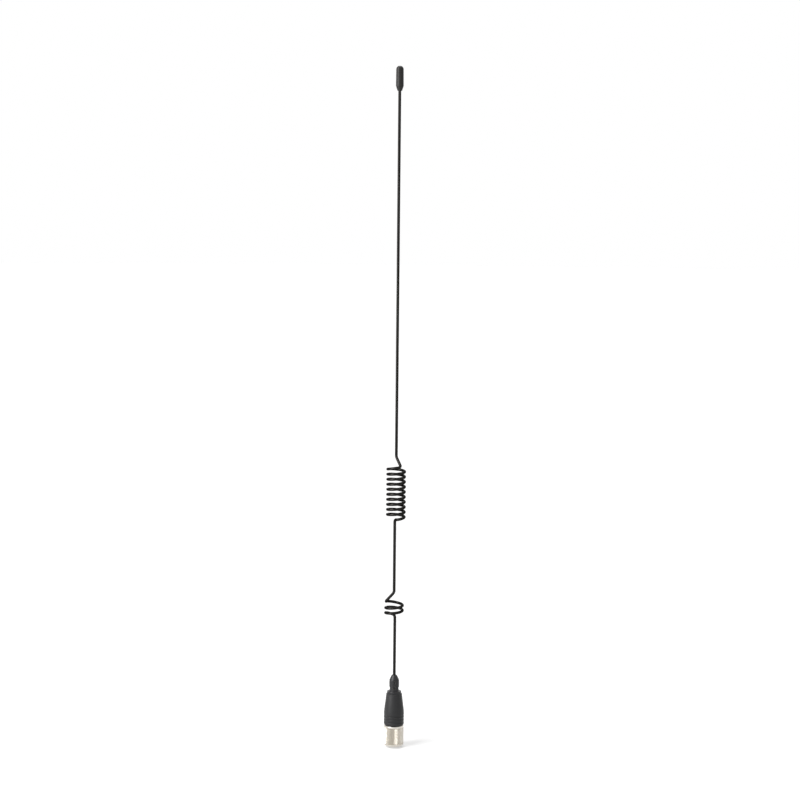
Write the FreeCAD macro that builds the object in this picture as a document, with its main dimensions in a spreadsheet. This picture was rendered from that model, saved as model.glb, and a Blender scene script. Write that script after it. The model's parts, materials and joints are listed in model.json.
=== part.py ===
"""Whip antenna for the VHF band: one bent spring-steel wire with two phasing coils, on a coaxial plug foot.

The frame's origin is on the whip's axis at the plug's seat, the plane where its shoulder meets the socket.
+Z runs up the whip and -Y faces the viewer. All lengths are millimetres and all angles are degrees.
"""
import math
import os
import re

import FreeCAD
import Part
import Sketcher
from FreeCAD import Vector

PARTS_FOLDER = "parts"
UP = Vector(0, 0, 1)
DOWN = Vector(0, 0, -1)

# Driving dimensions, each written once
SIZES = {
    # The wire and what it forms
    "wire_diameter": 2.6,
    "coil_radius": 7.72,
    "coil_pitch": 4.59,
    "rod_step": 0.85,
    "lean_angle": 42.5,
    "kink_run": 1.7,
    "entry_run": 2.6,
    "entry_sweep": 115.0,
    "entry_tilt": 9.0,
    "curl_tilt": 15.0,
    "foot_run": 2.3,
    "upper_coil_entry": -74.0,
    "upper_coil_exit": 0.0,
    "upper_whole_turns": 9,
    "upper_curl_height": 200.4,
    "lower_coil_entry": 161.0,
    "lower_coil_exit": 180.0,
    "lower_whole_turns": 1,
    "lower_curl_height": 112.3,
    "whip_height": 603.0,
    # The moulded cap on the whip's tip
    "cap_diameter": 6.95,
    "cap_crown_diameter": 6.6,
    "cap_length": 21.8,
    "cap_cone_length": 4.3,
    "cap_mouth_wall": 0.75,
    "cap_crown_flat": 0.2,
    "cap_shoulder_round": 2.0,
    "cap_tip_wall": 5.0,
    "cap_bore_clearance": 0.02,
    # The coaxial plug's turned shell
    "sleeve_diameter": 12.1,
    "sleeve_length": 7.5,
    "sleeve_wall": 1.1,
    "sleeve_notches": 4,
    "notch_width": 1.6,
    "notch_depth": 1.2,
    "flange_height": 2.0,
    "neck_length": 15.0,
    # The centre pin and what holds it
    "pin_diameter": 3.96,
    "pin_reach": 12.0,
    "pin_tip_round": 1.2,
    "pin_root_step": 0.4,
    "shank_wall": 0.8,
    "bead_top": 8.0,
    "bead_drop": 2.0,
    "seat_clearance": 0.02,
    # The ring that turns on the plug
    "ring_bore": 14.84,
    "ring_wall": 1.6,
    "ring_reach": 10.5,
    "ring_lip": 6.0,
    "ring_gap": 0.3,
    "ring_chamfer": 0.6,
    "knurl_grooves": 36,
    "knurl_width": 1.0,
    "knurl_depth": 0.4,
    "knurl_margin": 1.8,
    # The moulded housing
    "housing_wall": 3.1,
    "housing_height": 29.0,
    "housing_straight": 12.0,
    "housing_rim": 1.0,
    "housing_round": 1.0,
    "grip_grooves": 3,
    "grip_width": 1.2,
    "grip_depth": 0.5,
    "grip_spacing": 2.8,
    "grip_margin": 2.6,
    # The holder that grips the whip, with its stud, washer and gasket
    "holder_diameter": 9.0,
    "holder_height": 17.0,
    "holder_foot": 2.2,
    "holder_foot_lip": 0.4,
    "holder_foot_chamfer": 0.4,
    "holder_cone": 4.5,
    "holder_mouth_wall": 1.0,
    "holder_bore_depth": 14.0,
    "holder_bore_clearance": 0.03,
    "flat_depth": 0.5,
    "flat_height": 3.4,
    "flat_rise": 0.6,
    "stud_diameter": 5.0,
    "stud_length": 9.0,
    "stud_end_gap": 1.0,
    "washer_play": 0.2,
    "washer_width": 1.3,
    "washer_thickness": 0.8,
    "washer_split": 0.8,
    "gasket_wall": 0.55,
    "gasket_width": 1.5,
    "gasket_thickness": 1.0,
    "screw_diameter": 3.0,
    "screw_spacing": 4.4,
    "screw_depth": 6.7,
    "screw_recess": 0.3,
    "key_width": 1.5,
    "key_depth": 1.0,
}

# Radii and levels that follow from the driving dimensions
DERIVED = {
    "wire_radius": "wire_diameter / 2",
    "rod_top": "whip_height - cap_tip_wall",
    "cap_base": "whip_height - cap_length",
    "cap_bore": "wire_radius + cap_bore_clearance",
    "cap_shoulder": "cap_base + cap_cone_length",
    "cap_crown_round": "cap_crown_diameter / 2 - cap_crown_flat",
    "neck_radius": "sleeve_diameter / 2",
    "plug_bore": "neck_radius - sleeve_wall",
    "flange_radius": "ring_bore / 2 - ring_gap",
    "neck_top": "flange_height + neck_length",
    "pin_radius": "pin_diameter / 2",
    "pin_root_radius": "pin_radius + pin_root_step",
    "ring_radius": "ring_bore / 2 + ring_wall",
    "ring_shoulder": "flange_height + ring_gap",
    "ring_top": "ring_shoulder + ring_lip",
    "housing_base": "ring_top + ring_gap",
    "housing_top": "housing_base + housing_height",
    "housing_radius": "neck_radius + seat_clearance + housing_wall",
    "stud_radius": "stud_diameter / 2",
    "stud_base": "housing_top - stud_length",
    "shank_radius": "stud_radius + seat_clearance + shank_wall",
    "shank_top": "housing_top - washer_thickness",
    "washer_radius": "stud_radius + washer_play + washer_width",
    "gasket_radius": "washer_radius + seat_clearance + gasket_wall",
    "gasket_reach": "gasket_radius + gasket_width",
    "gasket_base": "housing_top - gasket_thickness",
    "housing_top_radius": "gasket_reach + housing_rim",
    "holder_radius": "holder_diameter / 2",
    "holder_bore": "wire_radius + holder_bore_clearance",
    "holder_foot_top": "housing_top + holder_foot",
    "holder_foot_radius": "gasket_reach + holder_foot_lip",
    "holder_top": "housing_top + holder_height",
    "holder_shoulder": "holder_top - holder_cone",
    "rod_base": "holder_top - holder_bore_depth",
    "screw_radius": "screw_diameter / 2",
    "screw_tip": "wire_radius + seat_clearance",
    "upper_screw_height": "holder_top - screw_depth",
    "lower_screw_height": "upper_screw_height - screw_spacing",
}

document = FreeCAD.newDocument("vhf_antenna")
sheet = document.addObject("Spreadsheet::Sheet", "sizes")
pieces = []


def fill_sheet():
    """Writes every size, and what follows from it, into the sheet under its own name."""
    rows = {name: str(value) for name, value in SIZES.items()}
    rows.update({name: "=" + formula for name, formula in DERIVED.items()})
    for row, (name, content) in enumerate(rows.items(), 1):
        sheet.set(f"A{row}", name)
        sheet.set(f"B{row}", content)
        sheet.setAlias(f"B{row}", name)
    document.recompute()


def size(name):
    """The value that the sheet holds under a name."""
    return float(sheet.get(name))


def bound(formula):
    """A formula of size names as an expression that reads them from the sheet."""
    return re.sub(r"\b[a-z_]+\b(?!\()", lambda word: "sizes." + word.group(), formula)


def bind(target, **formulas):
    """Ties properties of an object to formulas of sizes."""
    for path, formula in formulas.items():
        target.setExpression(path, bound(formula))


def set_height(target, formula):
    """Places an object on the Z axis at a height that the sheet gives."""
    target.setExpression("Placement.Base.z", bound(formula))


def finished(piece, label, solids=1):
    """Names a sub-part after its node and lists it, with its count of solids, to be written out."""
    piece.Label = label
    pieces.append((piece, solids))
    return piece


# Turned and moulded pieces


def closed_sketch(body, plane, corners):
    """A sketch on one of the body's own planes: straight lines through corners given as pairs of formulas."""
    sketch = body.newObject("Sketcher::SketchObject", body.Name + "_sketch")
    base = next(feature for feature in body.Origin.OriginFeatures if feature.Role == plane)
    sketch.AttachmentSupport = [(base, "")]
    sketch.MapMode = "FlatFace"
    places = [tuple(float(sketch.evalExpression(bound(part))) for part in corner) for corner in corners]
    count = len(corners)
    for index, (across, up) in enumerate(places):
        following = places[(index + 1) % count]
        sketch.addGeometry(Part.LineSegment(Vector(across, up, 0), Vector(*following, 0)), False)
    for index in range(count):
        sketch.addConstraint(Sketcher.Constraint("Coincident", index, 2, (index + 1) % count, 1))
    for index, corner in enumerate(corners):
        for formula, value, kind, axis in zip(corner, places[index], ("DistanceX", "DistanceY"), (-2, -1)):
            if formula == "0":
                sketch.addConstraint(Sketcher.Constraint("PointOnObject", index, 1, axis))
                continue
            number = sketch.addConstraint(Sketcher.Constraint(kind, -1, 1, index, 1, value))
            sketch.setExpression(f"Constraints[{number}]", bound(formula))
    return sketch


def turned(name, outline):
    """A body turned about the Z axis from an outline of (radius, height) formulas."""
    body = document.addObject("PartDesign::Body", name)
    turning = body.newObject("PartDesign::Revolution", name + "_turning")
    turning.Profile = closed_sketch(body, "XZ_Plane", outline)
    turning.ReferenceAxis = (turning.Profile[0], ["V_Axis"])
    turning.Angle = 360
    document.recompute()
    return body


def rim_edges(body, rims):
    """The names of the body's full round edges at given (radius, height) formulas."""
    wanted = [tuple(float(sheet.evalExpression(bound(part))) for part in rim) for rim in rims]
    names = []
    for number, edge in enumerate(body.Tip.Shape.Edges, 1):
        if not isinstance(edge.Curve, Part.Circle):
            continue
        found = (edge.Curve.Radius, edge.Curve.Center.z)
        if any(math.dist(found, rim) < 1e-4 for rim in wanted):
            names.append(f"Edge{number}")
    return names


def dress_rims(body, kind, amount, rims):
    """Rounds or chamfers round edges of a body by a size from the sheet."""
    names = rim_edges(body, rims)
    base = body.Tip
    dressing = body.newObject("PartDesign::" + kind, f"{body.Name}_{kind}")
    dressing.Base = (base, names)
    bind(dressing, **{"Radius" if kind == "Fillet" else "Size": amount})
    document.recompute()
    return dressing


def cut_upwards(body, corners, start, depth):
    """Cuts an outline of (x, y) formulas out of a body, upwards from a height."""
    sketch = closed_sketch(body, "XY_Plane", corners)
    sketch.setExpression("AttachmentOffset.Base.z", bound(start))
    pocket = body.newObject("PartDesign::Pocket", body.Name + "_pocket")
    pocket.Profile = sketch
    pocket.Reversed = True
    bind(pocket, Length=depth)
    document.recompute()
    return pocket


def repeat_round(body, pocket, copies):
    """Repeats a cut evenly round the Z axis."""
    pattern = body.newObject("PartDesign::PolarPattern", body.Name + "_pattern")
    pattern.Originals = [pocket]
    pattern.Axis = (pocket.Profile[0], ["N_Axis"])
    pattern.Angle = 360
    bind(pattern, Occurrences=copies)
    body.Tip = pattern
    document.recompute()


def tip_cap():
    """The moulded cap: a blind bore, a tapered mouth, sides with draft and a domed crown."""
    cap = turned("cap", [
        ("cap_bore", "cap_base"),
        ("cap_bore + cap_mouth_wall", "cap_base"),
        ("cap_diameter / 2", "cap_shoulder"),
        ("cap_crown_diameter / 2", "whip_height"),
        ("0", "whip_height"),
        ("0", "rod_top"),
        ("cap_bore", "rod_top"),
    ])
    dress_rims(cap, "Fillet", "cap_crown_round", [("cap_crown_diameter / 2", "whip_height")])
    dress_rims(cap, "Fillet", "cap_shoulder_round", [("cap_diameter / 2", "cap_shoulder")])
    return finished(cap, "tip_cap")


def plug_shell():
    """The plug's outer conductor: a notched sleeve below the seat, a flange, and a neck in the housing."""
    shell = turned("shell", [
        ("plug_bore", "-sleeve_length"),
        ("neck_radius", "-sleeve_length"),
        ("neck_radius", "0"),
        ("flange_radius", "0"),
        ("flange_radius", "flange_height"),
        ("neck_radius", "flange_height"),
        ("neck_radius", "neck_top"),
        ("plug_bore", "neck_top"),
    ])
    notch = [
        ("pin_radius", "-notch_width / 2"),
        ("flange_radius", "-notch_width / 2"),
        ("flange_radius", "notch_width / 2"),
        ("pin_radius", "notch_width / 2"),
    ]
    repeat_round(shell, cut_upwards(shell, notch, "-sleeve_length", "notch_depth"), "sleeve_notches")
    return finished(shell, "plug_shell")


def centre_pin():
    """The inner conductor: a round-nosed pin, a thicker root in the bead, and a shank bored for the stud."""
    pin = turned("pin", [
        ("0", "-pin_reach"),
        ("pin_radius", "-pin_reach"),
        ("pin_radius", "-bead_drop"),
        ("pin_root_radius", "-bead_drop"),
        ("pin_root_radius", "bead_top"),
        ("shank_radius", "bead_top"),
        ("shank_radius", "shank_top"),
        ("stud_radius + seat_clearance", "shank_top"),
        ("stud_radius + seat_clearance", "stud_base - stud_end_gap"),
        ("0", "stud_base - stud_end_gap"),
    ])
    dress_rims(pin, "Fillet", "pin_tip_round", [("pin_radius", "-pin_reach")])
    return finished(pin, "centre_pin")


def pin_insulator():
    """The bead that holds the pin in the middle of the plug."""
    return finished(turned("bead", [
        ("pin_root_radius + seat_clearance", "-bead_drop"),
        ("plug_bore - seat_clearance", "-bead_drop"),
        ("plug_bore - seat_clearance", "bead_top"),
        ("pin_root_radius + seat_clearance", "bead_top"),
    ]), "pin_insulator")


def coupling_ring():
    """The knurled ring, captive between the plug's flange and the housing."""
    ring = turned("ring", [
        ("ring_bore / 2", "-ring_reach"),
        ("ring_radius", "-ring_reach"),
        ("ring_radius", "ring_top"),
        ("neck_radius + ring_gap", "ring_top"),
        ("neck_radius + ring_gap", "ring_shoulder"),
        ("ring_bore / 2", "ring_shoulder"),
    ])
    dress_rims(ring, "Chamfer", "ring_chamfer", [
        ("ring_bore / 2", "-ring_reach"), ("ring_radius", "-ring_reach"), ("ring_radius", "ring_top"),
    ])
    groove = [
        ("ring_radius - knurl_depth", "0"),
        ("ring_radius + knurl_depth", "-knurl_width"),
        ("ring_radius + knurl_depth", "knurl_width"),
    ]
    first = cut_upwards(ring, groove, "knurl_margin - ring_reach", "ring_top + ring_reach - 2 * knurl_margin")
    repeat_round(ring, first, "knurl_grooves")
    return finished(ring, "coupling_ring")


def base_housing():
    """The moulded body: it grips the plug's neck inside and out, and carries the holder on its top."""
    grip = []
    for number in range(SIZES["grip_grooves"]):
        start = f"housing_base + grip_margin + {number} * grip_spacing"
        end = start + " + grip_width"
        grip += [
            ("housing_radius", start),
            ("housing_radius - grip_depth", start),
            ("housing_radius - grip_depth", end),
            ("housing_radius", end),
        ]
    housing = turned("housing", [
        ("shank_radius + seat_clearance", "bead_top"),
        ("plug_bore - seat_clearance", "bead_top"),
        ("plug_bore - seat_clearance", "neck_top"),
        ("neck_radius + seat_clearance", "neck_top"),
        ("neck_radius + seat_clearance", "housing_base"),
        ("housing_radius", "housing_base"),
        *grip,
        ("housing_radius", "housing_base + housing_straight"),
        ("housing_top_radius", "housing_top"),
        ("gasket_reach + seat_clearance", "housing_top"),
        ("gasket_reach + seat_clearance", "gasket_base"),
        ("gasket_radius - seat_clearance", "gasket_base"),
        ("gasket_radius - seat_clearance", "housing_top"),
        ("washer_radius + seat_clearance", "housing_top"),
        ("washer_radius + seat_clearance", "shank_top"),
        ("shank_radius + seat_clearance", "shank_top"),
    ])
    dress_rims(housing, "Fillet", "housing_round", [("housing_radius", "housing_base")])
    return finished(housing, "base_housing")


def gasket():
    """The flat rubber ring in the housing's top, under the holder's foot."""
    return finished(turned("gasket", [
        ("gasket_radius", "gasket_base"),
        ("gasket_reach", "gasket_base"),
        ("gasket_reach", "housing_top"),
        ("gasket_radius", "housing_top"),
    ]), "holder_gasket")


def lock_washer():
    """The split spring washer between the centre pin's shank and the holder."""
    washer = turned("washer", [
        ("stud_radius + washer_play", "shank_top"),
        ("washer_radius", "shank_top"),
        ("washer_radius", "housing_top"),
        ("stud_radius + washer_play", "housing_top"),
    ])
    split = [
        ("0", "-washer_split / 2"),
        ("washer_radius + washer_play", "-washer_split / 2"),
        ("washer_radius + washer_play", "washer_split / 2"),
        ("0", "washer_split / 2"),
    ]
    cut_upwards(washer, split, "shank_top", "washer_thickness")
    return finished(washer, "lock_washer")


# The holder and its screws


def screw_cylinder(name, height, start, end, radius="screw_radius"):
    """A cylinder that runs from one distance to another in front of the whip, along -Y."""
    cylinder = document.addObject("Part::Cylinder", name)
    cylinder.Placement.Rotation = FreeCAD.Rotation(UP, Vector(0, -1, 0))
    bind(cylinder, Radius=radius, Height=f"{end} - ({start})")
    cylinder.setExpression("Placement.Base.y", bound(f"-({start})"))
    set_height(cylinder, height)
    return cylinder


def rod_holder():
    """The turned holder: a stud below, two wrench flats, a tapered nose and two set-screw holes."""
    blank = turned("holder", [
        ("0", "stud_base"),
        ("stud_radius", "stud_base"),
        ("stud_radius", "housing_top"),
        ("holder_foot_radius", "housing_top"),
        ("holder_foot_radius", "holder_foot_top"),
        ("holder_radius", "holder_foot_top"),
        ("holder_radius", "holder_shoulder"),
        ("holder_bore + holder_mouth_wall", "holder_top"),
        ("holder_bore", "holder_top"),
        ("holder_bore", "rod_base"),
        ("0", "rod_base"),
    ])
    dress_rims(blank, "Chamfer", "holder_foot_chamfer", [("holder_foot_radius", "holder_foot_top")])
    cutters = []
    for name in ("upper", "lower"):
        hole = screw_cylinder(name + "_hole", name + "_screw_height", "0", "holder_foot_radius",
                              "screw_radius + seat_clearance")
        cutters.append(hole)
    for name, left in (("left", "-holder_radius"), ("right", "holder_radius - flat_depth")):
        flat = document.addObject("Part::Box", name + "_flat")
        bind(flat, Length="flat_depth", Width="holder_diameter", Height="flat_height")
        flat.setExpression("Placement.Base.x", bound(left))
        flat.setExpression("Placement.Base.y", bound("-holder_radius"))
        set_height(flat, "holder_foot_top + flat_rise")
        cutters.append(flat)
    tools = document.addObject("Part::MultiFuse", "holder_cutters")
    tools.Shapes = cutters
    holder = document.addObject("Part::Cut", "holder_cut")
    holder.Base = blank
    holder.Tool = tools
    return finished(holder, "rod_holder")


def set_screw(name):
    """A headless screw with a hexagon socket: its flat tip bears on the wire."""
    height = name + "_screw_height"
    shaft = screw_cylinder(name + "_shaft", height, "screw_tip", "holder_radius - screw_recess")
    socket = document.addObject("Part::Prism", name + "_socket")
    socket.Polygon = 6
    socket.Placement.Rotation = FreeCAD.Rotation(UP, Vector(0, -1, 0))
    bind(socket, Circumradius="key_width / sqrt(3)", Height="key_depth")
    socket.setExpression("Placement.Base.y", bound("-(holder_radius - screw_recess - key_depth)"))
    set_height(socket, height)
    screw = document.addObject("Part::Cut", name + "_screw")
    screw.Base = shaft
    screw.Tool = socket
    return finished(screw, "set_screw_" + name)


# The wire, followed from its tip down to its foot


def unit(vector):
    """The vector scaled to length 1."""
    result = Vector(vector)
    result.normalize()
    return result


def level_direction(azimuth):
    """The level direction at an angle counted from +X towards +Y."""
    turn = math.radians(azimuth)
    return Vector(math.cos(turn), math.sin(turn), 0)


def tilted(inward, along, tilt):
    """A level inward direction turned up about the wire's own direction, or down if the tilt is negative."""
    across = unit(inward.cross(along))
    if across.z < 0:
        across = -across
    return inward * math.cos(math.radians(tilt)) + across * math.sin(math.radians(tilt))


def bend(arriving, corner, leaving, run):
    """An arc that rounds a corner and touches both of its directions one run away from it."""
    half_turn = arriving.getAngle(leaving) / 2
    depth = run / math.tan(half_turn) * (1 / math.cos(half_turn) - 1)
    middle = corner + unit(leaving - arriving) * depth
    return Part.Arc(corner - arriving * run, middle, corner + leaving * run).toShape()


class RoundArc:
    """An arc that leaves a point along a direction and curves about a centre on its inward side."""

    def __init__(self, start, along, inward, radius, sweep):
        self.centre = start + inward * radius
        self.along = along
        self.inward = inward
        self.radius = radius
        self.sweep = sweep
        self.end = self.point(sweep)
        self.heading = along * math.cos(sweep) + inward * math.sin(sweep)

    def point(self, angle):
        """The point on the arc after a turn, in radians."""
        return self.centre + (self.along * math.sin(angle) - self.inward * math.cos(angle)) * self.radius

    def edge(self):
        """The arc as an edge."""
        return Part.Arc(self.point(0), self.point(self.sweep / 2), self.end).toShape()


class Coil:
    """One right-handed phasing coil with the bends that join it to the rods above and below.

    edges run from the kink in the upper rod to the bend into the lower rod, top and bottom are their ends,
    and axis is the point of the plane z = 0 under the coil's centre, where the upper rod stands too.
    """

    def __init__(self, name, lower_rod):
        self.radius = size("coil_radius")
        self.slope = math.atan(size("coil_pitch") / (2 * math.pi * self.radius))
        entry, exit_azimuth = size(name + "_coil_entry"), size(name + "_coil_exit")
        part_turn = ((entry - exit_azimuth) % 360 - size("entry_sweep")) / 360
        self.rise = size("coil_pitch") * (size(name + "_whole_turns") + part_turn)
        self.height = size(name + "_curl_height")
        self.axis = lower_rod + level_direction(exit_azimuth) * size("rod_step")
        self.edges = [
            *self.lead_in(entry - size("entry_sweep")),
            self.helix(exit_azimuth),
            *self.curl(exit_azimuth, lower_rod),
        ]

    def rim(self, azimuth, height):
        """A point of the coil's centre line."""
        return self.axis + level_direction(azimuth) * self.radius + UP * height

    def falling(self, azimuth):
        """The coil's direction at an azimuth, followed downwards."""
        return level_direction(azimuth - 90) * math.cos(self.slope) + DOWN * math.sin(self.slope)

    def helix(self, exit_azimuth):
        """The regular turns."""
        helix = Part.makeHelix(size("coil_pitch"), self.rise, self.radius).Edges[0]
        helix.rotate(Vector(), UP, exit_azimuth)
        helix.translate(self.axis + UP * self.height)
        return helix

    def lead_in(self, azimuth):
        """The kink on the axis, the straight lean to the rim and the first stretch, which falls faster."""
        up_the_coil = -self.falling(azimuth)
        inward = tilted(level_direction(azimuth + 180), up_the_coil, size("entry_tilt"))
        sweep = math.radians(size("entry_sweep"))
        first = RoundArc(self.rim(azimuth, self.height + self.rise), up_the_coil, inward, self.radius, sweep)
        corner = first.end + first.heading * size("entry_run")
        reach = math.hypot(corner.x - self.axis.x, corner.y - self.axis.y)
        kink = self.axis + UP * (corner.z + reach / math.tan(math.radians(size("lean_angle"))))
        lean = unit(corner - kink)
        self.top = kink + UP * size("kink_run")
        return [
            bend(DOWN, kink, lean, size("kink_run")),
            Part.makeLine(kink + lean * size("kink_run"), corner - lean * size("entry_run")),
            bend(lean, corner, -first.heading, size("entry_run")),
            first.edge(),
        ]

    def curl(self, azimuth, lower_rod):
        """The dipping curl from the rim to the lower rod's line, and the bend into that rod."""
        along = self.falling(azimuth)
        inward = tilted(level_direction(azimuth + 180), along, -size("curl_tilt"))
        start = self.rim(azimuth, self.height)
        normal = along.cross(inward)
        corner = lower_rod + UP * (normal.dot(start - lower_rod) / normal.z)
        across = corner - start
        run = size("foot_run")
        radius = (across.dot(across) - run ** 2) / (2 * inward.dot(across))
        reach = across - inward * radius
        bearing = math.atan2(along.dot(reach), -inward.dot(reach)) % (2 * math.pi)
        curl = RoundArc(start, along, inward, radius, bearing - math.acos(radius / reach.Length))
        self.bottom = corner + DOWN * run
        print(f"curl radius {radius:.2f}, bends {run / math.tan(curl.heading.getAngle(DOWN) / 2):.2f}")
        return [curl.edge(), bend(curl.heading, corner, DOWN, run)]


def wire_stretch(name, start, edges):
    """One stretch of the wire: its round section, laid level on the upper end, swept along the edges."""
    path = document.addObject("Part::Feature", name + "_path")
    path.Shape = Part.Wire(Part.sortEdges(edges)[0])
    section = document.addObject("Part::Circle", name + "_section")
    bind(section, Radius="wire_radius")
    section.Placement.Base = start
    stretch = document.addObject("Part::Sweep", name)
    stretch.Sections = [section]
    stretch.Spine = (path, [f"Edge{number}" for number in range(1, len(path.Shape.Edges) + 1)])
    stretch.Solid = True
    stretch.Frenet = False
    document.recompute()
    length = path.Shape.Length
    share = stretch.Shape.Volume / length / size("wire_radius") ** 2
    print(f"{name}: length {length:.1f}, volume {share:.5f} of r2 l")
    return stretch


def whip_rod():
    """The whip: one bent wire, of three rods and two coils that meet end to end, a solid each."""
    lower = Coil("lower", Vector())
    upper = Coil("upper", lower.axis)
    tip = upper.axis + UP * size("rod_top")
    foot = UP * size("rod_base")
    stretches = [
        wire_stretch("top_rod", tip, [Part.makeLine(tip, upper.top)]),
        wire_stretch("upper_coil", upper.top, upper.edges),
        wire_stretch("middle_rod", upper.bottom, [Part.makeLine(upper.bottom, lower.top)]),
        wire_stretch("lower_coil", lower.top, lower.edges),
        wire_stretch("bottom_rod", lower.bottom, [Part.makeLine(lower.bottom, foot)]),
    ]
    wire = document.addObject("Part::Compound", "whip")
    wire.Links = stretches
    document.recompute()
    return finished(wire, "whip_rod", len(stretches))


def write_pieces():
    """Checks the whole document, then writes each sub-part to its own file."""
    document.recompute()
    for item in document.Objects:
        if "Invalid" in item.State or "Error" in item.State:
            raise RuntimeError(f"{item.Label} failed: {item.State}")
    for piece, solids in pieces:
        if piece.Shape.isNull() or not piece.Shape.isValid() or len(piece.Shape.Solids) != solids:
            raise RuntimeError(f"{piece.Label} is not valid, or not the {solids} solids that it should be")
    os.makedirs(PARTS_FOLDER, exist_ok=True)
    for piece, _ in pieces:
        piece.Shape.exportStep(f"{PARTS_FOLDER}/{piece.Label}.step")
        print(f"{piece.Label}: {piece.Shape.Volume:.1f} cubic millimetres")


fill_sheet()
whip_rod()
tip_cap()
rod_holder()
set_screw("upper")
set_screw("lower")
lock_washer()
gasket()
base_housing()
centre_pin()
pin_insulator()
plug_shell()
coupling_ring()
write_pieces()
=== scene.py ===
"""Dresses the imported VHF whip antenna: glossy black wire, moulded cap and housing, turned and plated foot.

The scene is in metres in the CAD frame: +Z runs up the whip, and -Y faces the camera. The sub-assemblies'
sizes are millimetres, and the studio's are metres.
"""
import json
import logging
import math
from collections.abc import Callable, Sequence
from dataclasses import dataclass, field
from enum import Enum
from typing import ClassVar

import bpy
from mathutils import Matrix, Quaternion, Vector


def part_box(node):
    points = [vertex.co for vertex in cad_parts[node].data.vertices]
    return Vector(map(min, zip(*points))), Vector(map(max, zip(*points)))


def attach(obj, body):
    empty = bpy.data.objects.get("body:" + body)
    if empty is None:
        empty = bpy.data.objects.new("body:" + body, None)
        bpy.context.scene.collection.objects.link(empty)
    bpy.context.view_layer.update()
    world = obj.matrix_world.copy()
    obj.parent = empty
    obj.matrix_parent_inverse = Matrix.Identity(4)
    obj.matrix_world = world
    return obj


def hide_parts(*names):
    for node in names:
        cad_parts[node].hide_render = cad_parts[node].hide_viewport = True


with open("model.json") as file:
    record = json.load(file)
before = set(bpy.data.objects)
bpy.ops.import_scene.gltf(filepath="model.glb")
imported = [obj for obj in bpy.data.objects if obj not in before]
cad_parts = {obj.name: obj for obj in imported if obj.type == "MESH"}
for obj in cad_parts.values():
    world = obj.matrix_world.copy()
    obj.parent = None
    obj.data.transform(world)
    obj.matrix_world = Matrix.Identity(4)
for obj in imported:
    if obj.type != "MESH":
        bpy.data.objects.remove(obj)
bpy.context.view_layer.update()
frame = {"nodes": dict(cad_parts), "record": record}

log = logging.getLogger("whip_antenna")

MM = 0.001
INCH = 25.4
FULL_TURN = 2 * math.pi
QUARTER_TURN = math.pi / 2
WELD_DISTANCE = 1e-6
ROUNDING_SEGMENTS = 4
MIX_BELOW, MIX_ABOVE, MIX_RESULT = 6, 7, 2
Colour = tuple[float, float, float]
Piece = bpy.types.Object
Socket = bpy.types.NodeSocket
Sockets = dict[str, Socket]


class Body(Enum):
    """The CAD bodies that pieces ride on."""

    ANTENNA = "antenna"
    RING = "ring"


# Node work


class NodeSheet:
    """A node tree with short calls to add and link nodes."""

    def __init__(self, tree: bpy.types.NodeTree) -> None:
        """Starts from an empty tree.

        Args:
            tree: The tree to fill.
        """
        self.tree = tree
        self.tree.nodes.clear()

    def add(self, kind: str, inputs: dict | None = None, **settings: object) -> bpy.types.Node:
        """Adds a node.

        Args:
            kind: The node's type without its ShaderNode prefix.
            inputs: Values or output sockets, by the name or number of the input.
            settings: Attributes of the node itself.

        Returns:
            The new node.
        """
        prefix = "" if kind.startswith("NodeGroup") else "ShaderNode"
        node = self.tree.nodes.new(prefix + kind)
        for name, value in settings.items():
            setattr(node, name, value)
        for name, value in (inputs or {}).items():
            if isinstance(value, Socket):
                self.tree.links.new(value, node.inputs[name])
            else:
                node.inputs[name].default_value = value
        return node

    def math(self, operation: str, first: object, second: object = 0.0) -> Socket:
        """The result of a Math node on two values or sockets."""
        return self.add("Math", {0: first, 1: second}, operation=operation).outputs[0]

    def noise(self, place: object, scale: object, detail: float) -> Socket:
        """The value of a noise texture at a place."""
        return self.add("TexNoise", {"Vector": place, "Scale": scale, "Detail": detail}).outputs[0]

    def remap(self, value: object, low: float = 0.0, high: float = 1.0, to_low: object = 0.0,
              to_high: object = 1.0) -> Socket:
        """A value brought from one range to another and held inside it.

        Args:
            value: The value or socket.
            low: The value that becomes to_low.
            high: The value that becomes to_high.
            to_low: The start of the new range.
            to_high: The end of the new range.

        Returns:
            The new value's socket.
        """
        return self.add("MapRange", {"Value": value, "From Min": low, "From Max": high, "To Min": to_low,
                                     "To Max": to_high}).outputs[0]


class Effect:
    """An effect that several finishes share, built once as a shader node group.

    A subclass gives its name, its inputs beside Place with their kinds and defaults, and its outputs with
    their kinds where they aren't one height.
    """

    name: ClassVar[str]
    inputs: ClassVar[dict[str, tuple[str, object]]]
    outputs: ClassVar[dict[str, str]] = {"Height": "Float"}

    def fill(self, sheet: NodeSheet, given: Sockets) -> Sockets:
        """Builds the inside of the group.

        Args:
            sheet: The group's nodes.
            given: The inputs by name.

        Returns:
            The outputs by name.
        """
        raise NotImplementedError

    def build(self) -> bpy.types.NodeTree:
        """Makes the node group.

        Returns:
            The group, with its named sockets.
        """
        tree = bpy.data.node_groups.new(self.name, "ShaderNodeTree")
        tree.interface.new_socket("Place", in_out="INPUT", socket_type="NodeSocketVector")
        for name, (kind, default) in self.inputs.items():
            socket = tree.interface.new_socket(name, in_out="INPUT", socket_type="NodeSocket" + kind)
            socket.default_value = default
        for name, kind in self.outputs.items():
            tree.interface.new_socket(name, in_out="OUTPUT", socket_type="NodeSocket" + kind)
        sheet = NodeSheet(tree)
        entry = sheet.add("NodeGroupInput")
        sheet.add("NodeGroupOutput", self.fill(sheet, {socket.name: socket for socket in entry.outputs}))
        return tree


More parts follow.
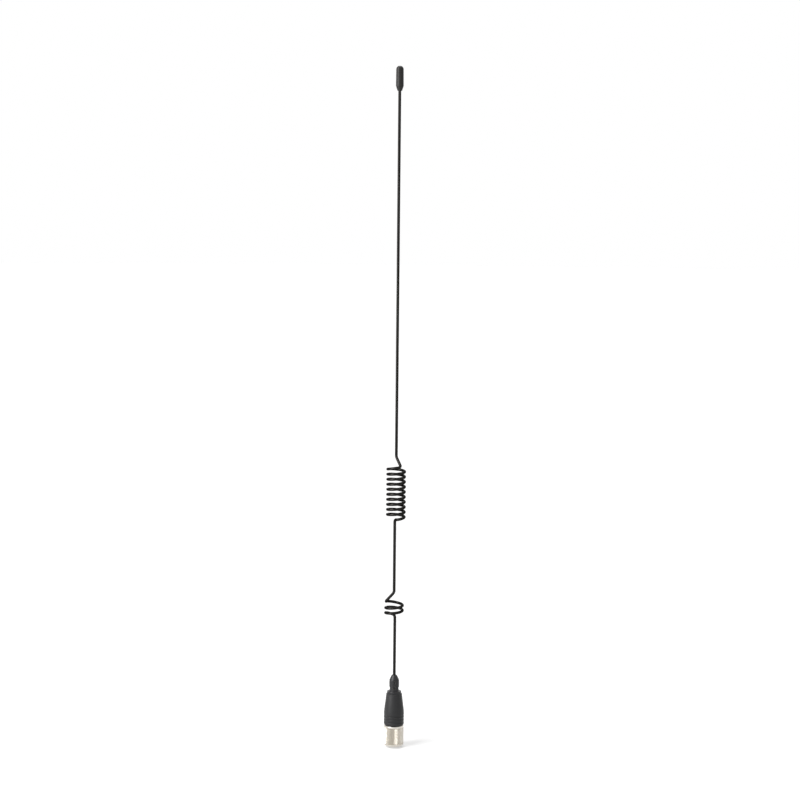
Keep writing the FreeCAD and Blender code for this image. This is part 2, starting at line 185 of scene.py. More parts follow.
@dataclass(frozen=True)
class Grain(Effect):
    """A fine relief of two sizes of grain."""

    name: ClassVar[str] = "fine grain"
    inputs: ClassVar[dict] = {"Scale": ("Float", 900.0)}
    fine_ratio: float = 3.7
    coarse_share: float = 0.65
    fine_share: float = 0.35
    coarse_detail: float = 4.0
    fine_detail: float = 2.0

    def fill(self, sheet: NodeSheet, given: Sockets) -> Sockets:
        """Adds the two grains by their shares.

        Args:
            sheet: The group's nodes.
            given: The inputs by name.

        Returns:
            The outputs by name.
        """
        finer = sheet.math("MULTIPLY", given["Scale"], self.fine_ratio)
        coarse = sheet.noise(given["Place"], given["Scale"], self.coarse_detail)
        fine = sheet.noise(given["Place"], finer, self.fine_detail)
        return {"Height": sheet.math("ADD", sheet.math("MULTIPLY", coarse, self.coarse_share),
                                     sheet.math("MULTIPLY", fine, self.fine_share))}


@dataclass(frozen=True)
class LatheLines(Effect):
    """Lines that a turning tool leaves: rings about Z on sides, and round the axis on ends."""

    name: ClassVar[str] = "lathe lines"
    inputs: ClassVar[dict] = {"Lines": ("Float", 9000.0)}
    detail: float = 3.0
    roughness: float = 0.7

    def fill(self, sheet: NodeSheet, given: Sockets) -> Sockets:
        """Runs a noise along the height plus the radius.

        Args:
            sheet: The group's nodes.
            given: The inputs by name.

        Returns:
            The outputs by name.
        """
        split = sheet.add("SeparateXYZ", {0: given["Place"]})
        flat = sheet.add("CombineXYZ", {"X": split.outputs["X"], "Y": split.outputs["Y"]})
        radius = sheet.add("VectorMath", {0: flat.outputs[0]}, operation="LENGTH").outputs["Value"]
        along = sheet.math("ADD", split.outputs["Z"], radius)
        lines = sheet.add("TexNoise", {"W": along, "Scale": given["Lines"], "Detail": self.detail,
                                       "Roughness": self.roughness}, noise_dimensions="1D")
        return {"Height": lines.outputs[0]}


@dataclass(frozen=True)
class ToneDrift(Effect):
    """A colour that drifts slightly lighter and darker over the surface."""

    name: ClassVar[str] = "tone drift"
    inputs: ClassVar[dict] = {"Colour": ("Color", (1, 1, 1, 1)), "Scale": ("Float", 60.0),
                              "Spread": ("Float", 0.1)}
    outputs: ClassVar[dict] = {"Colour": "Color"}
    detail: float = 3.0

    def fill(self, sheet: NodeSheet, given: Sockets) -> Sockets:
        """Scales the colour's value by a noise round 1.

        Args:
            sheet: The group's nodes.
            given: The inputs by name.

        Returns:
            The outputs by name.
        """
        noise = sheet.noise(given["Place"], given["Scale"], self.detail)
        value = sheet.remap(noise, to_low=sheet.math("SUBTRACT", 1.0, given["Spread"]),
                            to_high=sheet.math("ADD", 1.0, given["Spread"]))
        return {"Colour": sheet.add("HueSaturation", {"Color": given["Colour"], "Value": value}).outputs[0]}


@dataclass(frozen=True)
class HandledPatches(Effect):
    """Roughness that changes in soft patches, as from handling."""

    name: ClassVar[str] = "handled patches"
    inputs: ClassVar[dict] = {"Scale": ("Float", 120.0), "Low": ("Float", 0.2), "High": ("Float", 0.4)}
    outputs: ClassVar[dict] = {"Roughness": "Float"}
    detail: float = 5.0
    smooth_below: float = 0.35
    rough_above: float = 0.65

    def fill(self, sheet: NodeSheet, given: Sockets) -> Sockets:
        """Steepens a noise and brings it between the two roughnesses.

        Args:
            sheet: The group's nodes.
            given: The inputs by name.

        Returns:
            The outputs by name.
        """
        noise = sheet.noise(given["Place"], given["Scale"], self.detail)
        return {"Roughness": sheet.remap(noise, self.smooth_below, self.rough_above, given["Low"],
                                         given["High"])}


@dataclass(frozen=True)
class SettledDust(Effect):
    """A mask of dust that lies on faces that look up, and in scattered specks."""

    name: ClassVar[str] = "settled dust"
    inputs: ClassVar[dict] = {"Scale": ("Float", 700.0)}
    outputs: ClassVar[dict] = {"Mask": "Float"}
    detail: float = 4.0
    steepest: float = 0.3
    specks_from: float = 0.5
    specks_full: float = 0.75
    film: float = 0.25

    def fill(self, sheet: NodeSheet, given: Sockets) -> Sockets:
        """Lays a thin film and specks on what looks up.

        Args:
            sheet: The group's nodes.
            given: The inputs by name.

        Returns:
            The outputs by name.
        """
        normal = sheet.add("NewGeometry").outputs["Normal"]
        lying = sheet.remap(sheet.add("SeparateXYZ", {0: normal}).outputs["Z"], self.steepest, 1.0)
        noise = sheet.noise(given["Place"], given["Scale"], self.detail)
        specks = sheet.remap(noise, self.specks_from, self.specks_full)
        return {"Mask": sheet.math("MULTIPLY", lying, sheet.math("ADD", specks, self.film))}


@dataclass(frozen=True)
class RubbedEdgesAndHollowShade(Effect):
    """Masks of the edges that rub bare, and of the hollows, which get a painted shade that is partly grime.
    """

    name: ClassVar[str] = "rubbed edges and hollow shade"
    inputs: ClassVar[dict] = {"Scale": ("Float", 1500.0), "Width": ("Float", 0.15 * MM)}
    outputs: ClassVar[dict] = {"Worn": "Float", "ShadeAndGrime": "Float"}
    bevel_samples: int = 8
    sharp_likeness: float = 0.93
    detail: float = 4.0
    bare_from: float = 0.35
    bare_full: float = 0.6
    level: float = 0.5
    outward: float = 0.53
    inward: float = 0.46
    least_shade_and_grime: float = 0.5

    def fill(self, sheet: NodeSheet, given: Sockets) -> Sockets:
        """Finds outward edges and inward corners, and breaks them up with a noise.

        Args:
            sheet: The group's nodes.
            given: The inputs by name.

        Returns:
            The outputs by name.
        """
        surface = sheet.add("NewGeometry").outputs
        rounded = sheet.add("Bevel", {"Radius": given["Width"]}, samples=self.bevel_samples).outputs[0]
        likeness = sheet.add("VectorMath", {0: surface["Normal"], 1: rounded}, operation="DOT_PRODUCT")
        sharp = sheet.remap(likeness.outputs["Value"], 1.0, self.sharp_likeness)
        noise = sheet.noise(given["Place"], given["Scale"], self.detail)
        broken = sheet.remap(noise, self.bare_from, self.bare_full)
        out = sheet.remap(surface["Pointiness"], self.level, self.outward)
        hollow = sheet.remap(surface["Pointiness"], self.level, self.inward)
        worn = sheet.math("MULTIPLY", sheet.math("MULTIPLY", sharp, broken), out)
        # The hollows' mask, broken by the noise: where a painted shade goes, partly grime.
        shade_and_grime = sheet.math("MULTIPLY", hollow, sheet.remap(broken, to_low=self.least_shade_and_grime))
        return {"Worn": worn, "ShadeAndGrime": shade_and_grime}


@dataclass(frozen=True)
class PartingLine(Effect):
    """The thin ridge that the two halves of a mould leave on the sides."""

    name: ClassVar[str] = "parting line"
    inputs: ClassVar[dict] = {"Width": ("Float", 0.08 * MM)}

    def fill(self, sheet: NodeSheet, given: Sockets) -> Sockets:
        """Raises what lies close to the plane y = 0.

        Args:
            sheet: The group's nodes.
            given: The inputs by name.

        Returns:
            The outputs by name.
        """
        across = sheet.math("ABSOLUTE", sheet.add("SeparateXYZ", {0: given["Place"]}).outputs["Y"])
        ridge = sheet.add("MapRange", {"Value": across, "From Min": given["Width"], "From Max": 0.0},
                          interpolation_type="SMOOTHSTEP")
        return {"Height": ridge.outputs[0]}


class Effects:
    """The shader node groups that several finishes share."""

    def __init__(self) -> None:
        """Builds each group once."""
        self.grain = Grain().build()
        self.lathe = LatheLines().build()
        self.tone = ToneDrift().build()
        self.patches = HandledPatches().build()
        self.dust = SettledDust().build()
        self.edges = RubbedEdgesAndHollowShade().build()
        self.parting = PartingLine().build()


class MaterialSheet(NodeSheet):
    """A material's nodes, with short calls for effects on Object coordinates."""

    def __init__(self, tree: bpy.types.NodeTree) -> None:
        """Starts from an empty tree with its coordinates.

        Args:
            tree: The tree to fill.
        """
        super().__init__(tree)
        self.place = self.add("TexCoord").outputs["Object"]

    def effect(self, group: bpy.types.NodeTree, **values: object) -> bpy.types.NodeOutputs:
        """Places an effect's group.

        Args:
            group: The effect's group.
            values: The inputs that differ from their defaults.

        Returns:
            The group's outputs.
        """
        return self.add("Group", {"Place": self.place, **values}, node_tree=group).outputs

    def over(self, base: Socket, mask: Socket, amount: float,
             top: Colour) -> Socket:
        """Lays a colour over another by a mask.

        Args:
            base: The colour below.
            mask: Where the colour on top lies.
            amount: How much of it lies there.
            top: The colour on top.

        Returns:
            The mixed colour.
        """
        inputs = {"Factor": self.math("MULTIPLY", mask, amount), MIX_BELOW: base, MIX_ABOVE: (*top, 1)}
        return self.add("Mix", inputs, data_type="RGBA").outputs[MIX_RESULT]


# Finishes


class Relief(Enum):
    """What a finish's fine relief is made by."""

    GRAIN = "grain"
    LATHE = "lathe"


@dataclass(frozen=True)
class Finish:
    """One finish: its colour, gloss, fine relief and wear.

    slot is the record's material slot. relief_scale is features or lines per metre, and relief_height is
    metres. rim is how bright a metal's reflection grows towards its outline. dust, worn, the hollows'
    darkening and parting are how strongly each of these shows. The hollows' darkening is a painted shade
    that is partly grime.
    """

    slot: str
    colour: Colour
    roughness: tuple[float, float]
    relief: Relief
    relief_scale: float
    relief_height: float
    metallic: float = 0.0
    specular: float = 0.5
    rim: float = 1.0
    tone_scale: float = 60.0
    tone_spread: float = 0.12
    patch_scale: float = 120.0
    dust: float = 0.0
    dust_colour: Colour = (0.35, 0.33, 0.30)
    worn: float = 0.0
    worn_colour: Colour = (0.50, 0.40, 0.22)
    # Hollow darkening and its colour: a painted shade that is partly grime.
    shade_and_grime: float = 0.0
    shade_and_grime_colour: Colour = (0.06, 0.05, 0.04)
    parting: float = 0.0

    def tint(self, sheet: MaterialSheet, effects: Effects) -> Socket:
        """The colour with its drift, a painted shade in its hollows that is partly grime, its wear and its
        dust.

        Args:
            sheet: The material's nodes.
            effects: The shared effect groups.

        Returns:
            The colour's socket.
        """
        colour = sheet.effect(effects.tone, Colour=(*self.colour, 1), Scale=self.tone_scale,
                              Spread=self.tone_spread)[0]
        # Darkens the hollows with a painted shade that is partly grime.
        if self.shade_and_grime:
            colour = sheet.over(colour, sheet.effect(effects.edges)["ShadeAndGrime"], self.shade_and_grime, self.shade_and_grime_colour)
        if self.worn:
            colour = sheet.over(colour, sheet.effect(effects.edges)["Worn"], self.worn, self.worn_colour)
        if self.dust:
            colour = sheet.over(colour, sheet.effect(effects.dust)[0], self.dust, self.dust_colour)
        return colour

    def height(self, sheet: MaterialSheet, effects: Effects) -> Socket:
        """The fine relief, with the parting line where there is one.

        Args:
            sheet: The material's nodes.
            effects: The shared effect groups.

        Returns:
            The height's socket.
        """
        if self.relief is Relief.GRAIN:
            height = sheet.effect(effects.grain, Scale=self.relief_scale)[0]
        else:
            height = sheet.effect(effects.lathe, Lines=self.relief_scale)[0]
        if self.parting:
            ridge = sheet.effect(effects.parting)[0]
            height = sheet.math("ADD", height, sheet.math("MULTIPLY", ridge, self.parting))
        return height

    def material(self, effects: Effects) -> bpy.types.Material:
        """Makes the node material.

        Args:
            effects: The shared effect groups.

        Returns:
            The material, named after the slot.
        """
        made = bpy.data.materials.new(self.slot)
        made.use_nodes = True
        sheet = MaterialSheet(made.node_tree)
        smooth_end, rough_end = self.roughness
        patches = sheet.effect(effects.patches, Scale=self.patch_scale, Low=smooth_end, High=rough_end)
        bump = sheet.add("Bump", {"Height": self.height(sheet, effects), "Strength": 1.0,
                                  "Distance": self.relief_height})
        shader = sheet.add("BsdfPrincipled", {
            "Base Color": self.tint(sheet, effects), "Roughness": patches[0], "Metallic": self.metallic,
            "Specular IOR Level": self.specular, "Specular Tint": (self.rim, self.rim, self.rim, 1),
            "Normal": bump.outputs[0]})
        sheet.add("OutputMaterial", {"Surface": shader.outputs[0]})
        return made


# The hollow darkening on the metal finishes is a painted shade that is partly grime.
FINISHES = (
    Finish("coated_wire", colour=(0.018, 0.0172, 0.0162), roughness=(0.12, 0.18),
           relief=Relief.GRAIN, relief_scale=900.0, relief_height=0.004 * MM,
           metallic=1.0, rim=0.45, tone_scale=90.0, dust=0.03),
    Finish("tip_plastic", colour=(0.025, 0.024, 0.023), roughness=(0.20, 0.28),
           relief=Relief.GRAIN, relief_scale=5200.0, relief_height=0.005 * MM,
           specular=0.2, tone_spread=0.08, dust=0.04, parting=5.0),
    Finish("black_plating", colour=(0.022, 0.022, 0.024), roughness=(0.24, 0.36),
           relief=Relief.LATHE, relief_scale=5200.0, relief_height=0.008 * MM,
           metallic=0.6, dust=0.1, worn=0.6),
    Finish("black_steel", colour=(0.035, 0.035, 0.038), roughness=(0.35, 0.5),
           relief=Relief.GRAIN, relief_scale=4000.0, relief_height=0.006 * MM,
           metallic=0.8, worn=0.7, worn_colour=(0.35, 0.35, 0.36)),
    Finish("spring_steel", colour=(0.50, 0.50, 0.51), roughness=(0.3, 0.45),
           relief=Relief.LATHE, relief_scale=6000.0, relief_height=0.008 * MM,
           metallic=1.0, shade_and_grime=0.6),
    Finish("rubber", colour=(0.020, 0.020, 0.020), roughness=(0.6, 0.8),
           relief=Relief.GRAIN, relief_scale=3000.0, relief_height=0.02 * MM, dust=0.3),
    Finish("housing_plastic", colour=(0.018, 0.018, 0.019), roughness=(0.40, 0.52),
           relief=Relief.GRAIN, relief_scale=3400.0, relief_height=0.05 * MM,
           specular=0.3, dust=0.12, worn=0.5, worn_colour=(0.07, 0.07, 0.07), parting=1.0),
    Finish("brass_contact", colour=(0.75, 0.56, 0.25), roughness=(0.2, 0.34),
           relief=Relief.LATHE, relief_scale=7000.0, relief_height=0.006 * MM,
           metallic=1.0, shade_and_grime=0.5),
    Finish("white_insulator", colour=(0.86, 0.85, 0.82), roughness=(0.35, 0.5),
           relief=Relief.LATHE, relief_scale=4000.0, relief_height=0.006 * MM, tone_spread=0.03),
    Finish("bright_plating", colour=(0.60, 0.57, 0.52), roughness=(0.12, 0.24),
           relief=Relief.LATHE, relief_scale=8000.0, relief_height=0.004 * MM,
           metallic=1.0, shade_and_grime=0.6),
    Finish("ring_plating", colour=(0.58, 0.55, 0.50), roughness=(0.16, 0.28),
           relief=Relief.LATHE, relief_scale=8000.0, relief_height=0.004 * MM,
           metallic=1.0, shade_and_grime=0.7, worn=0.5, worn_colour=(0.68, 0.60, 0.45)),
)


@dataclass
class Wardrobe:
    """The made materials by slot."""

    effects: Effects
    made: dict[str, bpy.types.Material] = field(default_factory=dict)

    def sew(self) -> None:
        """Makes every finish's material."""
        for finish in FINISHES:
            self.made[finish.slot] = finish.material(self.effects)

    def dress(self, piece: Piece, slot: str) -> None:
        """Gives a piece one slot's material."""
        piece.data.materials.clear()
        piece.data.materials.append(self.made[slot])


def dress_cad_nodes(wardrobe: Wardrobe) -> None:
    """Gives each CAD node the material of its slot in the record.

    Args:
        wardrobe: The made materials.
    """
    for part in frame["record"]["subparts"]:
        wardrobe.dress(frame["nodes"][part["node"]], part["material_slot"])
        log.info("dressed %s in %s", part["node"], part["material_slot"])


# Modelling helpers


def clear_selection() -> None:
    """Leaves nothing selected."""
    bpy.ops.object.select_all(action="DESELECT")


def activate(piece: Piece) -> None:
    """Selects one piece alone and makes it the active one.

    Args:
        piece: The piece.
    """
    clear_selection()
    piece.select_set(True)
    bpy.context.view_layer.objects.active = piece


def start_editing() -> None:
    """Puts the active piece in edit mode."""
    bpy.ops.object.mode_set(mode="EDIT")


def stop_editing() -> None:
    """Puts the active piece back in object mode."""
    bpy.ops.object.mode_set(mode="OBJECT")


def settle(piece: Piece) -> None:
    """Puts a piece's place, turn and scale into its mesh."""
    activate(piece)
    bpy.ops.object.transform_apply(location=True, rotation=True, scale=True)


def weld() -> None:
    """Merges the points of the piece in edit mode that lie together."""
    bpy.ops.mesh.select_all(action="SELECT")
    bpy.ops.mesh.remove_doubles(threshold=WELD_DISTANCE)


def face_outward() -> None:
    """Turns all faces of the closed piece in edit mode outward."""
    bpy.ops.mesh.select_all(action="SELECT")
    bpy.ops.mesh.normals_make_consistent(inside=False)


class Element(Enum):
    """What is selected in edit mode."""

    VERTEX = "VERT"
    EDGE = "EDGE"
    FACE = "FACE"


def pick(piece: Piece, element: Element, test: Callable[..., bool]) -> None:
    """Selects in edit mode what passes a test.

    Args:
        piece: The active piece, in edit mode.
        element: What is selected.
        test: Takes a vertex's place, the places of an edge's two ends, or a face's centre and normal.
    """
    bpy.ops.mesh.select_mode(type=element.value)
    bpy.ops.mesh.select_all(action="DESELECT")
    stop_editing()
    mesh = piece.data
    if element is Element.VERTEX:
        found = [(vertex, [vertex.co]) for vertex in mesh.vertices]
    elif element is Element.EDGE:
        found = [(edge, [mesh.vertices[end].co for end in edge.vertices]) for edge in mesh.edges]
    else:
        found = [(face, [face.center, face.normal]) for face in mesh.polygons]
    for item, places in found:
        item.select = test(*places)
    start_editing()


def apply_modifier(piece: Piece, kind: str, **settings: object) -> None:
    """Adds a modifier and applies it.

    Args:
        piece: The piece to change.
        kind: The modifier's type.
        settings: The modifier's attributes.
    """
    activate(piece)
    modifier = piece.modifiers.new(kind.lower(), kind)
    for name, value in settings.items():
        setattr(modifier, name, value)
    bpy.ops.object.modifier_apply(modifier=modifier.name)


def cut_away(piece: Piece, tool: Piece) -> None:
    """Cuts a tool out of a piece, removes the tool and merges the points that the cut leaves doubled.

    Args:
        piece: The piece to cut.
        tool: The closed shape to cut away.
    """
    settle(tool)
    apply_modifier(piece, "BOOLEAN", operation="DIFFERENCE", solver="EXACT", object=tool)
    bpy.data.objects.remove(tool)
    start_editing()
    weld()
    stop_editing()


def smooth(piece: Piece, crease: float = 35.0) -> None:
    """Shades a piece smooth except over edges sharper than an angle in degrees."""
    activate(piece)
    bpy.ops.object.shade_smooth_by_angle(angle=math.radians(crease))


def radius_of(place: Vector) -> float:
    """The distance of a place from the Z axis."""
    return math.hypot(place.x, place.y)


@dataclass(frozen=True)
class Corner:
    """One corner of a turned outline, in millimetres, with the radius of its rounding."""

    radius: float
    height: float
    rounding: float = 0.0


def trace_outline(name: str, corners: Sequence[Corner], closed: bool) -> Piece:
    """Draws an outline in the plane y = 0 by extruding one vertex along its corners, and rounds them.

    Args:
        name: The piece's name.
        corners: The outline's corners in order.
        closed: Whether the last corner joins the first.

    Returns:
        The piece, left in edit mode.
    """
    clear_selection()
    first = corners[0]
    bpy.ops.mesh.primitive_plane_add(size=MM)
    piece = bpy.context.object
    piece.name = piece.data.name = name
    start_editing()
    bpy.ops.mesh.select_mode(type="VERT")
    bpy.ops.mesh.merge(type="CENTER")
    bpy.ops.transform.translate(value=(first.radius * MM, 0, first.height * MM))
    rest = [*corners[1:], first] if closed else list(corners[1:])
    for start, end in zip(corners, rest):
        step = ((end.radius - start.radius) * MM, 0, (end.height - start.height) * MM)
        bpy.ops.mesh.extrude_region_move(TRANSFORM_OT_translate={"value": step})
    weld()
    for corner in corners:
        if corner.rounding:
            place = Vector((corner.radius * MM, 0, corner.height * MM))
            pick(piece, Element.VERTEX, lambda point: (point - place).length < WELD_DISTANCE)
            bpy.ops.mesh.bevel(offset=corner.rounding * MM, segments=ROUNDING_SEGMENTS, affect="VERTICES")
    return piece


def turn(name: str, corners: Sequence[Corner], closed: bool = True, steps: int = 96) -> Piece:
    """Turns a piece about the Z axis from an outline.

    Args:
        name: The piece's name.
        corners: The outline's corners; an open outline starts and ends on the axis.
        closed: Whether the outline is a loop.
        steps: Segments round the axis.

    Returns:
        The turned piece, in object mode.
    """
    piece = trace_outline(name, corners, closed)
    bpy.ops.mesh.select_all(action="SELECT")
    bpy.ops.mesh.spin(steps=steps, angle=FULL_TURN, center=(0, 0, 0), axis=(0, 0, 1))
    weld()
    face_outward()
    stop_editing()
    return piece


def rod_tool(radius: float, length: float, place: Sequence[float], corners: int = 48,
             turned: tuple[float, float, float] = (QUARTER_TURN, 0, 0)) -> Piece:
    """A round or polygonal cutting tool, in millimetres.

    Args:
        radius: The radius to its corners.
        length: Its length.
        place: Its middle.
        corners: How many corners it has round its axis.
        turned: Its turn in radians, which lays it along Y unless given otherwise.

    Returns:
        The tool.
    """
    clear_selection()
    bpy.ops.mesh.primitive_cylinder_add(vertices=corners, radius=radius * MM, depth=length * MM,
                                        rotation=turned, location=[value * MM for value in place])
    return bpy.context.object


def block_tool(size: Sequence[float], place: Sequence[float]) -> Piece:
    """A square cutting tool, in millimetres.

    Args:
        size: Its size along X, Y and Z.
        place: Its middle.

    Returns:
        The tool.
    """
    clear_selection()
    bpy.ops.mesh.primitive_cube_add(size=MM, location=[value * MM for value in place])
    tool = bpy.context.object
    tool.scale = size
    return tool


def hand_over(piece: Piece, body: Body, slot: str, wardrobe: Wardrobe, *nodes: str) -> None:
    """Dresses a finished piece, hangs it on its body and hides the CAD nodes that it stands for.

    Args:
        piece: The finished piece.
        body: The CAD body that it moves with.
        slot: The record's material slot.
        wardrobe: The made materials.
        nodes: CAD nodes that it replaces.
    """
    settle(piece)
    wardrobe.dress(piece, slot)
    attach(piece, body.value)
    if nodes:
        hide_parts(*nodes)
    log.info("%s: %d faces on %s", piece.name, len(piece.data.polygons), body.value)


# Sub-assemblies


@dataclass(frozen=True)
class Room:
    """Where a CAD node lies, in millimetres."""

    bottom: float
    top: float
    radius: float
    front: float
    back: float

    @property
    def middle(self) -> float:
        """The height of its middle."""
        return (self.bottom + self.top) / 2


def room_of(node: str) -> Room:
    """The room that a CAD node takes, in millimetres."""
    low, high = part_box(node)
    return Room(low.z / MM, high.z / MM, high.x / MM, low.y / MM, high.y / MM)


@dataclass
class RodHolder:
    """The turned holder that grips the whip's foot, with softened edges, wrench flats and screw holes."""

    body_radius: float = 4.5
    stud_radius: float = 2.5
    foot_height: float = 2.2
    nose_height: float = 4.5
    mouth_radius: float = 2.33
    bore_radius: float = 1.33
    bore_depth: float = 14.0
    hole_radius: float = 1.52
    flat_depth: float = 0.5
    flat_height: float = 3.4
    flat_rise: float = 0.6
    stud_edge: float = 0.4
    seat_edge: float = 0.15
    foot_edge: float = 0.5
    body_edge: float = 0.25
    shoulder_edge: float = 0.9
    mouth_edge: float = 0.25
    bore_edge: float = 0.12

    def blank(self, room: Room, seat: float) -> Piece:
        """The holder as it comes off the lathe.

        Args:
            room: The room of the CAD holder.
            seat: The height of the housing's top.

        Returns:
            The turned piece.
        """
        foot_top = seat + self.foot_height
        return turn("holder_body", [
            Corner(0, room.bottom),
            Corner(self.stud_radius, room.bottom, self.stud_edge),
            Corner(self.stud_radius, seat),
            Corner(room.radius, seat, self.seat_edge),
            Corner(room.radius, foot_top, self.foot_edge),
            Corner(self.body_radius, foot_top, self.body_edge),
            Corner(self.body_radius, room.top - self.nose_height, self.shoulder_edge),
            Corner(self.mouth_radius, room.top, self.mouth_edge),
            Corner(self.bore_radius, room.top, self.bore_edge),
            Corner(self.bore_radius, room.top - self.bore_depth),
            Corner(0, room.top - self.bore_depth),
        ], closed=False)

    def build(self, wardrobe: Wardrobe) -> None:
        """Makes the holder, cuts its flats and holes, and dresses it.

        Args:
            wardrobe: The made materials.
        """
        room = room_of("rod_holder")
        seat = room_of("base_housing").top
        holder = self.blank(room, seat)
        flat_middle = seat + self.foot_height + self.flat_rise + self.flat_height / 2
        across = 2 * self.body_radius
        for side in (-1, 1):
            place = (side * (self.body_radius - self.flat_depth + across / 2), 0, flat_middle)
            cut_away(holder, block_tool((across, across, self.flat_height), place))
        for screw in ("set_screw_upper", "set_screw_lower"):
            hole = rod_tool(self.hole_radius, room.radius, (0, -room.radius / 2, room_of(screw).middle))
            cut_away(holder, hole)
        smooth(holder)
        hand_over(holder, Body.ANTENNA, "black_plating", wardrobe, "rod_holder")


@dataclass
class SetScrews:
    """The two headless screws that clamp the wire: a chamfered rim and a hexagon socket each."""

    rim: float = 0.25
    key_width: float = 1.5
    key_depth: float = 1.0
    key_corners: int = 6
    steps: int = 48

    def screw(self, room: Room) -> Piece:
        """One screw, turned upright and laid along -Y where the CAD screw is.

        Args:
            room: The room of the CAD screw.

        Returns:
            The screw.
        """
        length = room.back - room.front
        screw = turn("set_screw_socket_upper", [
            Corner(0, 0),
            Corner(room.radius, 0, self.rim),
            Corner(room.radius, length, self.rim),
            Corner(0, length),
        ], closed=False, steps=self.steps)
        corner_radius = self.key_width / math.sqrt(3)
        cut_away(screw, rod_tool(corner_radius, 2 * self.key_depth, (0, 0, length), corners=self.key_corners,
                                 turned=(0, 0, 0)))
        screw.rotation_euler = (QUARTER_TURN, 0, 0)
        screw.location = (0, room.back * MM, room.middle * MM)
        settle(screw)
        return screw

    def build(self, wardrobe: Wardrobe) -> None:
        """Makes the upper screw and copies it to the lower one's place.

        Args:
            wardrobe: The made materials.
        """
        room = room_of("set_screw_upper")
        upper = self.screw(room)
        smooth(upper)
        lower = upper.copy()
        lower.data = upper.data.copy()
        lower.name = lower.data.name = "set_screw_socket_lower"
        bpy.context.scene.collection.objects.link(lower)
        lower.location.z = (room_of("set_screw_lower").middle - room.middle) * MM
        hand_over(upper, Body.ANTENNA, "black_steel", wardrobe, "set_screw_upper")
        hand_over(lower, Body.ANTENNA, "black_steel", wardrobe, "set_screw_lower")


@dataclass
class Housing:
    """The moulded housing, with rounded rims and soft grip grooves."""

    base: float = 8.6
    shank_clearance: float = 3.34
    core_radius: float = 4.93
    straight: float = 12.0
    top_radius: float = 7.07
    grooves: int = 3
    groove_width: float = 1.2
    groove_depth: float = 0.5
    groove_spacing: float = 2.8
    groove_margin: float = 2.6
    groove_edge: float = 0.2
    gasket_width: float = 1.5
    gap: float = 0.02
    neck_edge: float = 0.15
    base_edge: float = 1.0
    shoulder_edge: float = 3.0
    top_edge: float = 0.4
    recess_edge: float = 0.1

    def grip(self, radius: float) -> list[Corner]:
        """The outline's corners along the grip grooves.

        Args:
            radius: The housing's outer radius.

        Returns:
            The corners from the lowest groove up.
        """
        corners = []
        for number in range(self.grooves):
            start = self.base + self.groove_margin + number * self.groove_spacing
            end = start + self.groove_width
            depth = radius - self.groove_depth
            corners += [Corner(radius, start, self.groove_edge), Corner(depth, start, self.groove_edge),
                        Corner(depth, end, self.groove_edge), Corner(radius, end, self.groove_edge)]
        return corners

    def build(self, wardrobe: Wardrobe) -> None:
        """Turns the housing round the plug's neck, the gasket and the washer, and dresses it.

        Args:
            wardrobe: The made materials.
        """
        room = room_of("base_housing")
        neck = room_of("plug_shell")
        gasket, washer = room_of("holder_gasket"), room_of("lock_washer")
        neck_radius = PlugShell.neck_radius + self.gap
        inner_gasket = gasket.radius - self.gasket_width - self.gap
        housing = turn("housing_body", [
            Corner(self.shank_clearance, room.bottom),
            Corner(self.core_radius, room.bottom),
            Corner(self.core_radius, neck.top),
            Corner(neck_radius, neck.top),
            Corner(neck_radius, self.base, self.neck_edge),
            Corner(room.radius, self.base, self.base_edge),
            *self.grip(room.radius),
            Corner(room.radius, self.base + self.straight, self.shoulder_edge),
            Corner(self.top_radius, room.top, self.top_edge),
            Corner(gasket.radius + self.gap, room.top, self.recess_edge),
            Corner(gasket.radius + self.gap, gasket.bottom),
            Corner(inner_gasket, gasket.bottom),
            Corner(inner_gasket, room.top),
            Corner(washer.radius + self.gap, room.top),
            Corner(washer.radius + self.gap, washer.bottom),
            Corner(self.shank_clearance, washer.bottom),
        ])
        smooth(housing)
        hand_over(housing, Body.ANTENNA, "housing_plastic", wardrobe, "base_housing")


@dataclass
class PlugShell:
    """The plug's outer conductor, with broken edges and four notches in the sleeve's end."""

    neck_radius: float = 6.05
    bore_radius: float = 4.95
    flange_radius: float = 7.12
    flange_height: float = 2.0
    notch_width: float = 1.6
    notch_depth: float = 1.2
    sleeve_edge: float = 0.3
    edge: float = 0.15

    def build(self, wardrobe: Wardrobe) -> None:
        """Turns the shell, cuts the notches and dresses it.

        Args:
            wardrobe: The made materials.
        """
        room = room_of("plug_shell")
        shell = turn("shell_body", [
            Corner(self.bore_radius, room.bottom, self.edge),
            Corner(self.neck_radius, room.bottom, self.sleeve_edge),
            Corner(self.neck_radius, 0),
            Corner(self.flange_radius, 0, self.edge),
            Corner(self.flange_radius, self.flange_height, self.edge),
            Corner(self.neck_radius, self.flange_height),
            Corner(self.neck_radius, room.top, self.edge),
            Corner(self.bore_radius, room.top, self.edge),
        ])
        reach, height = 3 * self.neck_radius, 2 * self.notch_depth
        for size in ((reach, self.notch_width, height), (self.notch_width, reach, height)):
            cut_away(shell, block_tool(size, (0, 0, room.bottom)))
        smooth(shell)
        hand_over(shell, Body.ANTENNA, "bright_plating", wardrobe, "plug_shell")


